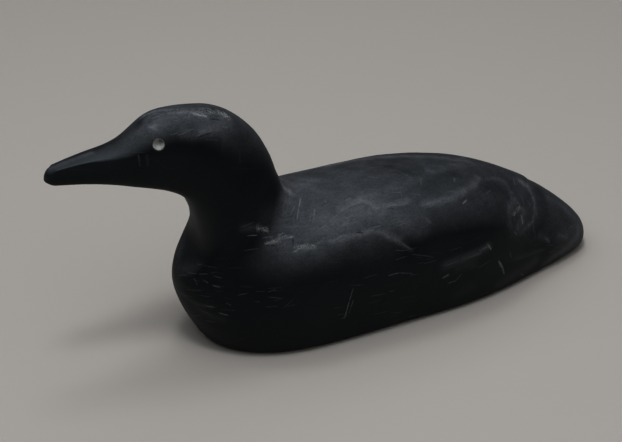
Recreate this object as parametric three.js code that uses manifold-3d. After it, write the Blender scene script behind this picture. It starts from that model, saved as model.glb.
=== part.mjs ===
// A loon carved from one block of black soapstone, with a drilled pit for each eye.
// Millimetres, +Z up. The bill points to -X, the tail to +X, and the bird's left flank is -Y.
// The origin is the middle of the carving's box, on the flat underside that it rests on.
import * as THREE from 'three';
import { mergeVertices } from 'three/addons/utils/BufferGeometryUtils.js';
import Module from 'manifold-3d';

const BILL_X = -110;
const TAIL_X = 110;

// The ribs of the carving, from the bill's tip round the head and down the neck to the tail.
// Each rib is a slice from its top [x, z] on the bird's back line to its foot [x, z] on the
// breast line. A foot below zero is a keel that the flat underside cuts away.
// half: half the slice's width. waist: how far up the slice it is widest.
// over, under: the roundness of the slice above and below its waist, 2 being an ellipse.
const RIBS = [
  { at: 'bill tip', top: [BILL_X, 80.1], foot: [BILL_X, 74.4], half: 2.4, waist: 0.35, over: 2, under: 3 },
  { at: 'bill end', top: [-106.5, 80.9], foot: [-106.5, 73.9], half: 2.7, waist: 0.9, over: 1.4, under: 3.4 },
  { at: 'mid bill', top: [-94, 83.3], foot: [-94, 72], half: 4.5, waist: 0.87, over: 1.4, under: 3.6 },
  { at: 'bill base', top: [-81, 87], foot: [-80, 68.5], half: 8.1, waist: 0.69, over: 1.8, under: 3.4 },
  { at: 'forehead', top: [-71.5, 93.3], foot: [-70, 64.8], half: 10.5, waist: 0.61, over: 1.7, under: 2.6 },
  { at: 'crown', top: [-61, 93.8], foot: [-62.5, 60.3], half: 11.4, waist: 0.57, over: 1.9, under: 2.6 },
  { at: 'hind crown', top: [-48, 91.4], foot: [-58.9, 53.2], half: 13.7, waist: 0.52, over: 1.7, under: 2.2 },
  { at: 'nape', top: [-37.5, 83.6], foot: [-57.3, 46.2], half: 15.7, waist: 0.47, over: 2, under: 2.4 },
  { at: 'low neck', top: [-29.6, 71.6], foot: [-58.8, 37], half: 16.8, waist: 0.47, over: 2.1, under: 2.6 },
  { at: 'nape crease', top: [-23.8, 57.2], foot: [-65.7, 27], half: 18.5, waist: 0.53, over: 2.1, under: 2.1 },
  { at: 'breast', top: [-12.1, 52.2], foot: [-61.6, 8.7], half: 27, waist: 0.57, over: 2.2, under: 2.2 },
  { at: 'shoulder', top: [2.2, 52.6], foot: [-39.4, -19], half: 31, waist: 0.6, over: 2.2, under: 2.3 },
  { at: 'back', top: [25, 51.7], foot: [10, -27], half: 30.1, waist: 0.68, over: 2.3, under: 2.2 },
  { at: 'rump', top: [55, 46.6], foot: [52, -23.3], half: 26.3, waist: 0.65, over: 2.1, under: 2.5 },
  { at: 'tail root', top: [80, 35], foot: [78, -12.3], half: 19, waist: 0.49, over: 1.8, under: 2.4 },
  { at: 'tail', top: [98.9, 20.6], foot: [97, -3.8], half: 13, waist: 0.42, over: 2, under: 2 },
  { at: 'tail tip', top: [TAIL_X, 8.2], foot: [TAIL_X, 0], half: 6.8, waist: 0.45, over: 2, under: 2 },
];

// The blunt ends: over these lengths the slices close to a point along a quarter ellipse.
const BILL_ROUND = { height: 3.5, width: 2.5 };
const TAIL_ROUND = { height: 5, width: 9 };

// The bottom edge is rubbed round to this radius, towards the inside of the footprint, whose
// direction is taken from an ellipse of this middle, length and width.
const BASE_ROUND = 3;
const FOOTPRINT = { middle: 25, length: 165, width: 56 };

// The eye is a shallow cone sunk into the side of the head: the middle of its rim and the way
// it faces, on the left side. The cutter's wide end stands proud, so its cut makes the rim.
const EYE_AT = [-72.4, -9.1, 86];
const EYE_DIAMETER = 4.4;
const EYE_DEPTH = 1.8;
const EYE_PROUD = 1;
const EYE_FACES = [-0.3, -0.92, 0.25];

// How finely the surface is cut into facets, and how near two points count as one.
const SIDE_STEPS = 22;
const BASE_STEPS = 4;
const BASE_START = 0.93;
const EYE_SIDES = 28;
const NEAR = 1e-4;

const STONE = new THREE.MeshStandardMaterial({ color: 0x1c1d20, roughness: 0.5, metalness: 0 });

// A natural cubic spline through values at given knots: the smooth curve of a bent batten.
function batten(knots, values) {
  const last = knots.length - 1;
  const gap = (i) => knots[i + 1] - knots[i];
  const bend = new Array(last + 1).fill(0);
  const carry = new Array(last + 1).fill(0);
  for (let i = 1; i < last; i += 1) {
    const turn = (values[i + 1] - values[i]) / gap(i) - (values[i] - values[i - 1]) / gap(i - 1);
    const pivot = 2 * (gap(i - 1) + gap(i)) - gap(i - 1) * carry[i - 1];
    carry[i] = gap(i) / pivot;
    bend[i] = (6 * turn - gap(i - 1) * bend[i - 1]) / pivot;
  }
  for (let i = last - 1; i > 0; i -= 1) {
    bend[i] -= carry[i] * bend[i + 1];
  }
  return (s) => {
    let i = 0;
    while (i < last - 1 && s > knots[i + 1]) {
      i += 1;
    }
    const b = (s - knots[i]) / gap(i);
    const a = 1 - b;
    const sag = ((a ** 3 - a) * bend[i] + (b ** 3 - b) * bend[i + 1]) * gap(i) ** 2 / 6;
    return a * values[i] + b * values[i + 1] + sag;
  };
}

// Straight lines from value to value, for the numbers that must not swing past their ends.
function steps(knots, values) {
  return (s) => {
    let i = 0;
    while (i < knots.length - 2 && s > knots[i + 1]) {
      i += 1;
    }
    return THREE.MathUtils.mapLinear(s, knots[i], knots[i + 1], values[i], values[i + 1]);
  };
}

// The distance along the carving of each rib: the mean of the way its top and foot have come.
function ribKnots() {
  const knots = [0];
  for (let i = 1; i < RIBS.length; i += 1) {
    const [a, b] = [RIBS[i - 1], RIBS[i]];
    const alongTop = Math.hypot(b.top[0] - a.top[0], b.top[1] - a.top[1]);
    const alongFoot = Math.hypot(b.foot[0] - a.foot[0], b.foot[1] - a.foot[1]);
    knots.push(knots[i - 1] + (alongTop + alongFoot) / 2);
  }
  return knots;
}

const KNOTS = ribKnots();
const REACH = KNOTS[KNOTS.length - 1];
const knotOf = (name) => KNOTS[RIBS.findIndex((rib) => rib.at === name)];
const CURVES = {
  topX: batten(KNOTS, RIBS.map((rib) => rib.top[0])),
  topZ: batten(KNOTS, RIBS.map((rib) => rib.top[1])),
  footX: batten(KNOTS, RIBS.map((rib) => rib.foot[0])),
  footZ: batten(KNOTS, RIBS.map((rib) => rib.foot[1])),
  half: batten(KNOTS, RIBS.map((rib) => rib.half)),
  waist: steps(KNOTS, RIBS.map((rib) => rib.waist)),
  over: steps(KNOTS, RIBS.map((rib) => rib.over)),
  under: steps(KNOTS, RIBS.map((rib) => rib.under)),
};

// A quarter ellipse: 0 at the very end, 1 from the given length inward.
function roundOff(distance, length) {
  const t = THREE.MathUtils.clamp(distance / length, 0, 1);
  return Math.sqrt(1 - (1 - t) ** 2);
}

// The slice at distance s: its widest level's middle, its two arms and its half width.
function sliceAt(s) {
  const top = new THREE.Vector2(CURVES.topX(s), CURVES.topZ(s));
  const foot = new THREE.Vector2(CURVES.footX(s), CURVES.footZ(s));
  const waist = foot.clone().lerp(top, CURVES.waist(s));
  const height = roundOff(s, BILL_ROUND.height) * roundOff(REACH - s, TAIL_ROUND.height);
  const width = roundOff(s, BILL_ROUND.width) * roundOff(REACH - s, TAIL_ROUND.width);
  return {
    waist,
    rise: top.sub(waist).multiplyScalar(height),
    drop: foot.sub(waist).multiplyScalar(height),
    half: CURVES.half(s) * width,
    over: CURVES.over(s),
    under: CURVES.under(s),
  };
}

// A point of the slice at an angle: a quarter turn is the top, zero the waist.
function slicePoint(slice, angle) {
  const power = angle >= 0 ? slice.over : slice.under;
  const across = Math.max(Math.cos(angle), 0);
  const up = Math.sin(angle);
  const size = (across ** power + Math.abs(up) ** power) ** (-1 / power);
  const arm = angle >= 0 ? slice.rise : slice.drop;
  const spot = slice.waist.clone().addScaledVector(arm, size * Math.abs(up));
  return new THREE.Vector3(spot.x, -slice.half * size * across, spot.y);
}

// A point near the ground, moved in by what a quarter circle of the base radius leaves.
function roundBase(point) {
  const z = Math.max(point.z, 0);
  const above = THREE.MathUtils.clamp(BASE_ROUND - z, 0, BASE_ROUND);
  const inset = BASE_ROUND - Math.sqrt(BASE_ROUND ** 2 - above ** 2);
  const out = new THREE.Vector2(
    (point.x - FOOTPRINT.middle) / FOOTPRINT.length ** 2,
    point.y / FOOTPRINT.width ** 2,
  ).normalize();
  return new THREE.Vector3(point.x - inset * out.x, point.y - inset * out.y, z);
}

// The lowest angle of the slice: its foot, or where the flat underside cuts its keel away.
function lowestAngle(slice) {
  const level = slice.waist.y / -slice.drop.y;
  if (!(slice.drop.y < 0) || level >= 1) {
    return -Math.PI / 2;
  }
  const across = (1 - level ** slice.under) ** (1 / slice.under);
  return -Math.atan2(level, across);
}

// The distance at which the breast line meets the ground, found by halving.
function groundStart() {
  let [above, below] = [knotOf('breast'), knotOf('shoulder')];
  for (let i = 0; i < 40; i += 1) {
    const middle = (above + below) / 2;
    if (CURVES.footZ(middle) > 0) {
      above = middle;
    } else {
      below = middle;
    }
  }
  return below;
}

// Numbers from one to another, which ease bunches towards the start, the end, or neither.
function spread(from, to, count, ease) {
  const shapes = { even: (t) => t, fineStart: (t) => t * t, fineEnd: (t) => 1 - (1 - t) ** 2 };
  return Array.from({ length: count }, (_, i) => from + (to - from) * shapes[ease](i / count));
}

// Distances of all slices between the two poles, which are the very ends of bill and tail.
function sliceDistances() {
  const ground = groundStart();
  const billEnd = BILL_ROUND.height;
  const tailStart = REACH - TAIL_ROUND.width;
  return [
    ...spread(0, billEnd, 5, 'fineStart').slice(1),
    ...spread(billEnd, knotOf('bill base'), 8, 'even'),
    ...spread(knotOf('bill base'), knotOf('breast'), 34, 'even'),
    ...spread(knotOf('breast'), ground, 3, 'even'),
    ...spread(ground, knotOf('back'), 13, 'fineStart'),
    ...spread(knotOf('back'), tailStart, 15, 'even'),
    ...spread(tailStart, REACH, 8, 'fineEnd'),
  ];
}

// The carving without its eyes. Each slice is a ring: down its left side, over the underside
// and up its right side. Neighbouring rings are joined, and each end closes on one point.
function carvingGeometry() {
  const downSide = [
    ...spread(0, BASE_START, SIDE_STEPS, 'even'),
    ...spread(BASE_START, 1, BASE_STEPS, 'fineEnd'),
    1,
  ];
  const rings = sliceDistances().map((s) => {
    const slice = sliceAt(s);
    const low = lowestAngle(slice);
    const left = downSide.map((part) => {
      return roundBase(slicePoint(slice, Math.PI / 2 + (low - Math.PI / 2) * part));
    });
    const right = left.slice(1).reverse().map((p) => new THREE.Vector3(p.x, -p.y, p.z));
    return [...left, ...right];
  });
  const size = rings[0].length;
  const ends = [sliceAt(0).waist, sliceAt(REACH).waist];
  const points = [...rings.flat(), ...ends.map((p) => new THREE.Vector3(p.x, 0, p.y))];
  const index = [];
  for (let i = 0; i < rings.length - 1; i += 1) {
    for (let j = 0; j < size; j += 1) {
      const [a, b] = [i * size + j, i * size + (j + 1) % size];
      index.push(a, b, b + size, a, b + size, a + size);
    }
  }
  const lastRing = (rings.length - 1) * size;
  for (let j = 0; j < size; j += 1) {
    const k = (j + 1) % size;
    index.push(rings.length * size, k, j);
    index.push(rings.length * size + 1, lastRing + j, lastRing + k);
  }
  const geometry = new THREE.BufferGeometry().setFromPoints(points);
  geometry.setIndex(index);
  return withoutSlivers(mergeVertices(geometry, NEAR));
}

// Drops the triangles that have lost an edge where points of neighbouring slices coincide.
function withoutSlivers(geometry) {
  const kept = [];
  const corners = geometry.index.array;
  for (let i = 0; i < corners.length; i += 3) {
    const [a, b, c] = corners.slice(i, i + 3);
    if (a !== b && b !== c && c !== a) {
      kept.push(a, b, c);
    }
  }
  geometry.setIndex(kept);
  return geometry;
}

// The cone that sinks an eye, on the left side (-1) or the right side (+1) of the head.
function eyeCutter(side) {
  const height = EYE_DEPTH + EYE_PROUD;
  const radius = (EYE_DIAMETER / 2) * (height / EYE_DEPTH);
  const cone = new THREE.ConeGeometry(radius, height, EYE_SIDES);
  cone.deleteAttribute('normal');
  cone.deleteAttribute('uv');
  const [x, y, z] = EYE_FACES;
  const outward = new THREE.Vector3(x, -side * y, z).normalize();
  const centre = new THREE.Vector3(EYE_AT[0], -side * EYE_AT[1], EYE_AT[2]);
  const turn = new THREE.Quaternion().setFromUnitVectors(new THREE.Vector3(0, -1, 0), outward);
  cone.applyQuaternion(turn);
  centre.addScaledVector(outward, (EYE_PROUD - EYE_DEPTH) / 2);
  cone.translate(centre.x, centre.y, centre.z);
  return mergeVertices(cone, NEAR);
}

const wasm = await Module();
wasm.setup();

function toSolid(geometry) {
  const vertProperties = Float32Array.from(geometry.attributes.position.array);
  const triVerts = Uint32Array.from(geometry.index.array);
  return new wasm.Manifold(new wasm.Mesh({ numProp: 3, vertProperties, triVerts }));
}

function toGeometry(solid) {
  const mesh = solid.getMesh();
  const geometry = new THREE.BufferGeometry();
  geometry.setAttribute('position', new THREE.BufferAttribute(mesh.vertProperties, 3));
  geometry.setIndex(new THREE.BufferAttribute(mesh.triVerts, 1));
  geometry.computeVertexNormals();
  return geometry;
}

const carving = [-1, 1].reduce(
  (solid, side) => solid.subtract(toSolid(eyeCutter(side))),
  toSolid(carvingGeometry()),
);

const loon = new THREE.Mesh(toGeometry(carving), STONE);
loon.name = 'loon_carving';

const model = new THREE.Group();
model.add(loon);

export default model;
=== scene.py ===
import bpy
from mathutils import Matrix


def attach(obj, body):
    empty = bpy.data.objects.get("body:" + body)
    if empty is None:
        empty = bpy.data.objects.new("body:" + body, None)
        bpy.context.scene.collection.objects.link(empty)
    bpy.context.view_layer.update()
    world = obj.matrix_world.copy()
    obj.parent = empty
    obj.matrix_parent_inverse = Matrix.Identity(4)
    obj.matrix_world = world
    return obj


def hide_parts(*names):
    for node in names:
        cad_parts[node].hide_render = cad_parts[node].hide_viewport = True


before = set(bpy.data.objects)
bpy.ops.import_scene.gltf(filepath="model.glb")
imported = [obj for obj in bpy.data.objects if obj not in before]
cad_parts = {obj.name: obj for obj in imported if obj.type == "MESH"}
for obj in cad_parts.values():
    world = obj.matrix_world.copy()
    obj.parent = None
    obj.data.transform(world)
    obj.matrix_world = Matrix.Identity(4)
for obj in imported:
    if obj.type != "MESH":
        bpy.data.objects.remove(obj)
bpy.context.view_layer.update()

import math

import bpy
import numpy as np
from mathutils import Matrix, Vector

mm = 0.001  # shapes are worked out in millimetres, and Blender has metres
random = np.random.default_rng(7)  # seeded, so that every run gives the same bird


# The shape of the bird
loon = {
    # name: top x, top z, foot x, foot z, half width, waist, roundness over and under the waist
    "billTip": (-110, 80.1, -110, 74.4, 2.4, 0.35, 2, 3),
    "billEnd": (-106.5, 80.9, -106.5, 73.9, 2.7, 0.9, 1.4, 3.4),
    "midBill": (-94, 83.3, -94, 72, 4.5, 0.87, 1.4, 3.6),
    "billBase": (-81, 87, -80, 68.5, 8.1, 0.69, 1.8, 3.4),
    "forehead": (-71.5, 93.3, -70, 64.8, 10.5, 0.61, 1.7, 2.6),
    "crown": (-61, 93.8, -62.5, 60.3, 11.4, 0.57, 1.9, 2.6),
    "hindCrown": (-48, 91.4, -58.9, 53.2, 13.7, 0.52, 1.7, 2.2),
    "nape": (-37.5, 83.6, -57.3, 46.2, 15.7, 0.47, 2, 2.4),
    "lowNeck": (-29.6, 71.6, -58.8, 37, 16.8, 0.47, 2.1, 2.6),
    "napeCrease": (-23.8, 57.2, -65.7, 27, 18.5, 0.53, 2.1, 2.1),
    "breast": (-12.1, 52.2, -61.6, 8.7, 27, 0.57, 2.2, 2.2),
    "shoulder": (2.2, 52.6, -39.4, -19, 31, 0.6, 2.2, 2.3),
    "back": (25, 51.7, 10, -27, 30.1, 0.68, 2.3, 2.2),
    "rump": (55, 46.6, 52, -23.3, 26.3, 0.65, 2.1, 2.5),
    "tailRoot": (80, 35, 78, -12.3, 19, 0.49, 1.8, 2.4),
    "tail": (98.9, 20.6, 97, -3.8, 13, 0.42, 2, 2),
    "tailTip": (110, 8.2, 110, 0, 6.8, 0.45, 2, 2),
}
form = {  # millimetres, unless said otherwise
    "billRound": (3.5, 2.5),  # how far the bill's height and width close in at its tip
    "tailRound": (5, 9),  # the same at the end of the tail
    "baseRound": 3,  # radius of the bottom edge
    "footprint": (25, 165, 56),  # middle, length and width of the bottom, nearly an ellipse
    "waver": 0.12,  # depth of the hand-rubbed unevenness
    "waverLengths": (26, 11),  # its long and short waves
    "waverShort": 0.6,  # how deep the short ones are beside the long ones
    "waverSink": 1.5,  # how far they lie below the drawn shape, in halves of their depth
    "waveSpread": (0.7, 1.4),  # least and most of a wave's length, as shares of the named one
    "waveCount": 14,
    "crownFlat": 0.4,  # how much the crown is rubbed flat
    "crownEnds": (-74, -66, -46, -40),  # x where the flat begins, is whole, still is, and ends
    "crownFaces": 0.5,  # upward part of the facing from which on it is flat
    "tailStep": 0.5,  # the drop from the end of the back to the tail
    "backEnd": (55, 27.5, 24.7),  # middle x and half axes of the ellipse that the step follows
    "stepWidth": (0.93, 1.04),  # from and to, as shares of that ellipse
    "stepStart": (58, 70),  # x from none to all of the step
    "stepEnd": (92, 104),  # x from all to none of it
    "stepHeight": (8, 18),  # z from none to all of it
    "grooveDepth": 0.24,  # the groove under the wing
    "grooveWidth": 4.5,
    "ridgeHeight": 0.2,  # the low ridge on the flank
    "ridgeWidth": 2.6,
    "chipDepth": 0.3,
    "chipSize": 2.2,
    "chipWaves": 24,
    "chipStops": (-0.6, 0.6),  # height of its waves where a chip begins and where it is whole
    "groundFade": (0.3, 3),  # z from none to all of the relief
    "sharpAngle": 50,  # degrees, beyond which an edge looks sharp
}
spacing = {  # how the skin is divided, in millimetres along the bird and shares of a slice
    "headStep": 0.6,
    "bodyStep": 0.95,
    "billLength": 4,  # the closer lines of the bill's tip
    "billLines": 14,
    "breastLines": 44,
    "groundGap": 0.2,  # left free before the breast line meets the ground
    "tailLines": 26,
    "ringPoints": 70,
    "sideShare": 0.93,  # of a slice, down to where the closer lines of the bottom edge begin
    "baseShare": 0.07,
    "baseLines": 9,
    "eyeLines": 30,
    "eyeLength": 2.8,  # along the bird, either way from the eye
    "eyeShare": 0.075,  # of a slice, either way from the eye
    "closest": 0.04,
    "closestShare": 0.002,
    "eyeSearch": (200, 400),  # steps along and down in which its place is looked for
    "groundSearch": 4001,
    "ridgeSteps": 200,
}
eye = {  # drilled on both sides
    "at": (-72.1, -8.95, 85.75),  # the left one
    "faces": (-0.3, -0.92, 0.25),
    "radius": 2.2,
    "depth": 1.8,
    "hollow": 1.6,  # 1 for a plain cone, more for a rounder bottom
    "reach": 4,  # skin farther than this from the rim's plane isn't the eye's
    "rawEdge": (0.86, 0.97),  # shares of the radius from raw to polished stone
    # painted shade in the pit's upper part, where its rim shades it
    "pitShadeAt": (0.85, 0.95),  # back and up from the middle
    "pitShadeSize": 0.6,
    "pitShade": 0.75,
}


# A natural cubic spline, the curve of a bent batten: on each stretch the straight line
# between two values plus a cubic sag whose bends come from one set of linear equations.
def batten(knots, values):
    knots, values = np.asarray(knots, float), np.asarray(values, float)
    gap = np.diff(knots)
    slope = np.diff(values) / gap
    inner = np.diag(2 * (gap[:-1] + gap[1:])) + np.diag(gap[1:-1], 1) + np.diag(gap[1:-1], -1)
    bend = np.concatenate([[0], np.linalg.solve(inner, 6 * np.diff(slope)), [0]])

    def at(s):
        i = np.clip(np.searchsorted(knots, s) - 1, 0, len(gap) - 1)
        b = (s - knots[i]) / gap[i]
        a = 1 - b
        sag = ((a**3 - a) * bend[i] + (b**3 - b) * bend[i + 1]) * gap[i] ** 2 / 6
        return a * values[i] + b * values[i + 1] + sag

    return at


# Each rib's distance from the bill: the mean of the lengths of the top line and the foot line,
# both taken straight from rib to rib.
table = np.array(list(loon.values()), float)
names = list(loon)
travel = [np.hypot(*np.diff(table[:, k : k + 2], axis=0).T) for k in (0, 2)]
knots = np.concatenate([[0], np.cumsum((travel[0] + travel[1]) / 2)])
reach = knots[-1]
bent = [batten(knots, table[:, k]) for k in range(5)]


# The distance of a named rib.
def knotOf(name):
    return knots[names.index(name)]


# 0 at the very end and 1 from the given length inward, along a quarter ellipse.
def roundOff(distance, length):
    return np.sqrt(1 - (1 - np.clip(distance / length, 0, 1)) ** 2)


# 0 up to low and 1 from high on, with 3 t^2 - 2 t^3 between them.
def smooth(low, high, value):
    t = np.clip((value - low) / (high - low), 0, 1)
    return t * t * (3 - 2 * t)


# The left side of the bird on a grid. Down the first axis runs the distance s from the bill,
# along the second the fraction from the top of the slice to its lowest point. A slice is two
# half superellipses, |across|^n + |up|^n = 1, stacked at its waist, and the ground cuts it off.
def leftSide(s, fraction):
    topX, topZ, footX, footZ, half = (curve(s) for curve in bent)
    waist, over, under = (np.interp(s, knots, table[:, k]) for k in (5, 6, 7))
    height = roundOff(s, form["billRound"][0]) * roundOff(reach - s, form["tailRound"][0])
    half = half * roundOff(s, form["billRound"][1]) * roundOff(reach - s, form["tailRound"][1])
    waistX, waistZ = footX + (topX - footX) * waist, footZ + (topZ - footZ) * waist
    riseX, riseZ = (topX - waistX) * height, (topZ - waistZ) * height
    dropX, dropZ = (footX - waistX) * height, (footZ - waistZ) * height
    level = np.clip(waistZ / np.where(dropZ < 0, -dropZ, 1), 0, 1)
    level = np.where(dropZ < 0, level, 1)
    lowest = -np.arctan2(level, (1 - level**under) ** (1 / under))
    angle = math.pi / 2 + (lowest[:, None] - math.pi / 2) * fraction[None, :]
    up, across = np.sin(angle), np.maximum(np.cos(angle), 0)
    power = np.where(angle >= 0, over[:, None], under[:, None])
    size = (across**power + np.abs(up) ** power) ** (-1 / power)
    arm = size * np.abs(up)
    x = waistX[:, None] + arm * np.where(angle >= 0, riseX[:, None], dropX[:, None])
    z = waistZ[:, None] + arm * np.where(angle >= 0, riseZ[:, None], dropZ[:, None])
    return roundBase(x, -half[:, None] * size * across, np.maximum(z, 0))


# Points near the ground, moved inward by what a quarter circle leaves, r - sqrt(r^2 - (r - z)^2).
def roundBase(x, y, z):
    radius = form["baseRound"]
    middle, length, width = form["footprint"]
    inset = radius - np.sqrt(radius**2 - np.clip(radius - z, 0, radius) ** 2)
    outX, outY = (x - middle) / length**2, y / width**2
    size = np.maximum(np.hypot(outX, outY), 1e-9)
    return np.stack([x - inset * outX / size, y - inset * outY / size, z], axis=-1)


# Distances from the bill to the tail, closer together at both ends, where the breast line
# meets the ground, and round the eye. Towards an end or the ground they go as t^2.
def distances(eyeAt):
    neck, shoulder = knotOf("breast"), knotOf("shoulder")
    line = np.linspace(neck, shoulder, spacing["groundSearch"])
    ground = line[np.argmax(bent[3](line) < 0)]
    bill, tail = spacing["billLength"], form["tailRound"][1]
    parts = [
        bill * np.linspace(0, 1, spacing["billLines"])[1:] ** 2,
        np.arange(bill, neck, spacing["headStep"])[1:],
        np.arange(neck, ground - spacing["groundGap"], spacing["headStep"])[1:],
        ground + (shoulder - ground) * np.linspace(0, 1, spacing["breastLines"]) ** 2,
        np.arange(shoulder, reach - tail, spacing["bodyStep"])[1:],
        reach - tail * np.linspace(1, 0, spacing["tailLines"])[:-1] ** 2,
        eyeAt + np.linspace(-spacing["eyeLength"], spacing["eyeLength"], spacing["eyeLines"]),
    ]
    return tidyLine(np.concatenate(parts), spacing["closest"])


# The values in order, without those that follow the one before by less than the gap.
def tidyLine(values, gap):
    values = np.unique(values)
    return values[np.concatenate([[True], np.diff(values) > gap])]


# Where the eye lies on the grid: its distance along the bird and fraction down the slice.
def placeEye():
    s = np.linspace(knotOf("billBase"), knotOf("crown"), spacing["eyeSearch"][0])
    fraction = np.linspace(0, 1, spacing["eyeSearch"][1])
    away = np.linalg.norm(leftSide(s, fraction) - np.array(eye["at"]), axis=-1)
    i, j = np.unravel_index(np.argmin(away), away.shape)
    return s[i], fraction[j]


# The whole skin as points and triangles: rings of left side and mirrored right side, joined
# ring to ring, closed on one point at the bill's tip and one at the tail's. Points that fall
# together become one, and triangles that lose a side by it are left out.
def skin():
    eyeAt, eyeDown = placeEye()
    s = distances(eyeAt)
    side, base, nearEye = spacing["sideShare"], spacing["baseShare"], spacing["eyeShare"]
    parts = [
        np.linspace(0, side, spacing["ringPoints"]),
        side + base * np.linspace(0, 1, spacing["baseLines"]),
        eyeDown + np.linspace(-nearEye, nearEye, spacing["eyeLines"]),
    ]
    fraction = tidyLine(np.clip(np.concatenate(parts), 0, 1), spacing["closestShare"])
    fraction[-1] = 1
    left = leftSide(s, fraction)
    rings = np.concatenate([left, left[:, :0:-1] * [1, -1, 1]], axis=1)
    count, size = rings.shape[:2]
    ends = leftSide(np.array([0, reach]), np.array([0.5]))[:, 0] * [1, 0, 1]
    points = np.concatenate([rings.reshape(-1, 3), ends])
    ring = np.arange(size)
    following = (ring + 1) % size
    starts = np.arange(count - 1)[:, None] * size
    here, beside = (starts + ring).ravel(), (starts + following).ravel()
    last = (count - 1) * size
    billTip, tailTip = np.full(size, count * size), np.full(size, count * size + 1)
    faces = np.concatenate(
        [
            np.stack([here, beside, beside + size], 1),
            np.stack([here, beside + size, here + size], 1),
            np.stack([billTip, following, ring], 1),
            np.stack([tailTip, last + ring, last + following], 1),
        ]
    )
    points, back = np.unique(np.round(points, 5) + 0.0, axis=0, return_inverse=True)
    faces = back.reshape(-1)[faces]
    a, b, c = faces.T
    return points, faces[(a != b) & (b != c) & (c != a)]


# The outward direction at each point: the sum of its triangles' areas, made one long.
def outward(points, faces):
    corner = points[faces]
    area = np.cross(corner[:, 1] - corner[:, 0], corner[:, 2] - corner[:, 0])
    total = np.stack(
        [np.bincount(faces.ravel(), np.repeat(area[:, k], 3), len(points)) for k in range(3)], 1
    )
    return total / np.maximum(np.linalg.norm(total, axis=1), 1e-12)[:, None]


# Soft unevenness: sine waves of about one length in random directions, added up and divided
# by the square root of their count.
def waves(points, length, count):
    heading = random.normal(size=(count, 3))
    heading /= np.linalg.norm(heading, axis=1)[:, None]
    pitch = 2 * math.pi / (length * random.uniform(*form["waveSpread"], count))
    start = random.uniform(0, 2 * math.pi, count)
    return np.sin(points @ (heading * pitch[:, None]).T + start).sum(1) / math.sqrt(count)


# exp(-(d / width)^2), where d is the distance from a path of straight stretches.
def nearPath(points, path, width):
    path = np.array(path, float)
    nearest = np.full(len(points), 1e9)
    for start, end in zip(path[:-1], path[1:]):
        along = end - start
        t = np.clip(((points - start) @ along) / (along @ along), 0, 1)
        away = points - start - t[:, None] * along
        nearest = np.minimum(nearest, np.einsum("ij,ij->i", away, away))
    return np.exp(-nearest / width**2)


# The same for a path on the left side and its mirror image on the right, whichever is more.
def nearBoth(points, path, width, farSide=1):
    mirrored = farSide * nearPath(points * [1, -1, 1], path, width)
    return np.maximum(nearPath(points, path, width), mirrored)


# The camera, which also says where on the bird a place in the photograph lies
view = {
    "azimuth": -24.8,  # degrees from straight off the left side, minus towards the bill
    "elevation": 29.9,
    "away": 574.3,
    "roll": -0.18,
    "aim": (-5.08, 14.62, 27.52),
    "focus": 1500,  # in pixels
    "picture": (622, 442),
    "sensor": 36,
    "grazing": 0.06,  # skin that faces the camera less than this isn't taken as seen
    "near": 4,  # pixels within which the skin in front is looked for
    "frontDepth": 8,  # what lies farther behind the nearest of it is left out
    "slide": 2.5,  # the farthest that a place is slid along the skin
}


# The place and turn of a lamp or camera that looks at a point, rolled by some degrees.
def aimed(position, target, roll=0.0):
    turn = (Vector(position) - Vector(target)).to_track_quat("Z", "Y").to_matrix().to_4x4()
    return Matrix.Translation(position) @ turn @ Matrix.Rotation(math.radians(roll), 4, "Z")


# The camera looks at its aim from the given distance along
# (sin azimuth cos elevation, -cos azimuth cos elevation, sin elevation).
def cameraPlace():
    azimuth, elevation = math.radians(view["azimuth"]), math.radians(view["elevation"])
    level = math.cos(elevation)
    back = Vector((math.sin(azimuth) * level, -math.cos(azimuth) * level, math.sin(elevation)))
    target = Vector(view["aim"])
    return aimed(target + back * view["away"], target, view["roll"])


# The skin's points and outward directions where the camera sees them at the given pixels: the
# nearest shown point in the picture, slid in its tangent plane to the pixel's line of sight.
def onBird(pixels, skinPoints, outwards):
    place = np.array(cameraPlace())
    spot, axes = place[:3, 3], place[:3, :3]
    focus, middle = view["focus"], np.array(view["picture"]) / 2
    towards = spot - skinPoints
    towards /= np.linalg.norm(towards, axis=1)[:, None]
    shown = (towards * outwards).sum(1) > view["grazing"]
    points, facing = skinPoints[shown], outwards[shown]
    seen = (points - spot) @ axes
    drawn = seen[:, :2] / -seen[:, 2:] * [focus, -focus] + middle
    pixels = np.array(pixels, float)
    apart = np.linalg.norm(drawn[None] - pixels[:, None], axis=-1)
    within = np.maximum(view["near"], apart.min(1) + 1)[:, None]
    depth = np.where(apart < within, -seen[:, 2], np.inf)
    front = depth < depth.min(1)[:, None] + view["frontDepth"]
    nearest = np.where(front, apart, np.inf).argmin(1)
    found, normal = points[nearest], facing[nearest]
    sight = (pixels - middle) * [1, -1] / focus
    sight = np.concatenate([sight, np.full((len(pixels), 1), -1.0)], axis=1) @ axes.T
    steps = ((found - spot) * normal).sum(1) / (sight * normal).sum(1)
    slid = spot + steps[:, None] * sight
    close = np.linalg.norm(slid - found, axis=1) < view["slide"]
    return np.where(close[:, None], slid, found), normal
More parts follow.
